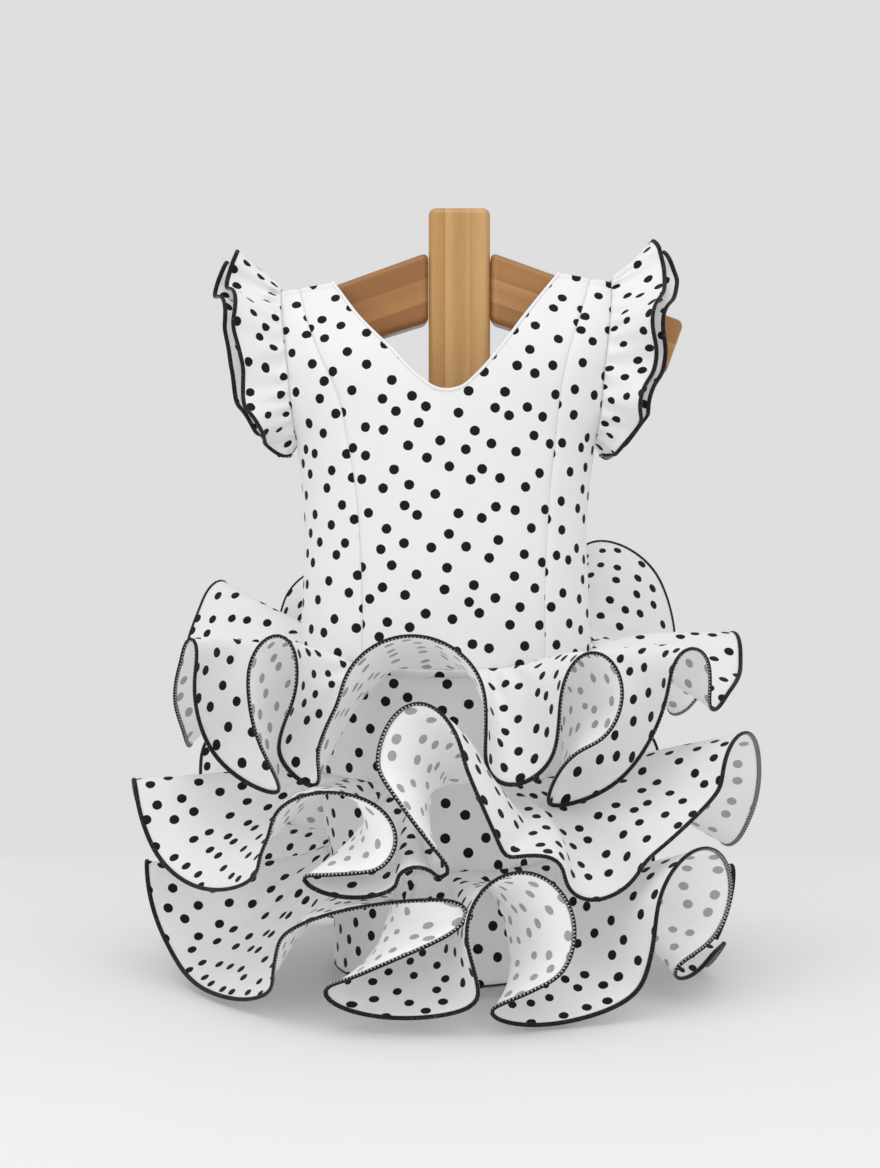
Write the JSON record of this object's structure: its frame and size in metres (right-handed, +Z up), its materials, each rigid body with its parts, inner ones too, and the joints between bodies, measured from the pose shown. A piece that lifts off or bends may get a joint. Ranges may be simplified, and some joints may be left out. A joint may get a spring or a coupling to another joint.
{
  "type": "flamenco dress on wooden stand",
  "caption": "Small child's polka-dot flamenco dress with a V neck, gathered cap sleeves and circular ruffle tiers, on a T-shaped wooden stand.",
  "frame": {"origin": "on the floor under the dress, in the underside of the stand's base board, in the middle plane of the dress", "axes": "+Z up, -Y towards the front of the dress, +X to the viewer's right as seen from the front"},
  "size_m": [0.4907, 0.5109, 0.606],
  "materials": {
    "dotted_cloth": "matt white cotton with scattered black polka dots",
    "white_trim": "plain white bias binding",
    "pine": "varnished laminated pine"
  },
  "bodies": {
    "root": {"stand_post": "pine", "stand_arm_left": "pine", "stand_arm_right": "pine", "stand_base": "pine", "front_centre": "dotted_cloth", "front_side_left": "dotted_cloth", "front_side_right": "dotted_cloth", "back_left": "dotted_cloth", "back_right": "dotted_cloth", "neck_piping": "white_trim", "skirt_front": "dotted_cloth", "skirt_back": "dotted_cloth", "sleeve_under_ruffle_left": "dotted_cloth", "sleeve_top_ruffle_left": "dotted_cloth", "sleeve_under_ruffle_right": "dotted_cloth", "sleeve_top_ruffle_right": "dotted_cloth", "tier_1": "dotted_cloth", "tier_2": "dotted_cloth", "tier_3": "dotted_cloth"}
  },
  "joints": []
}
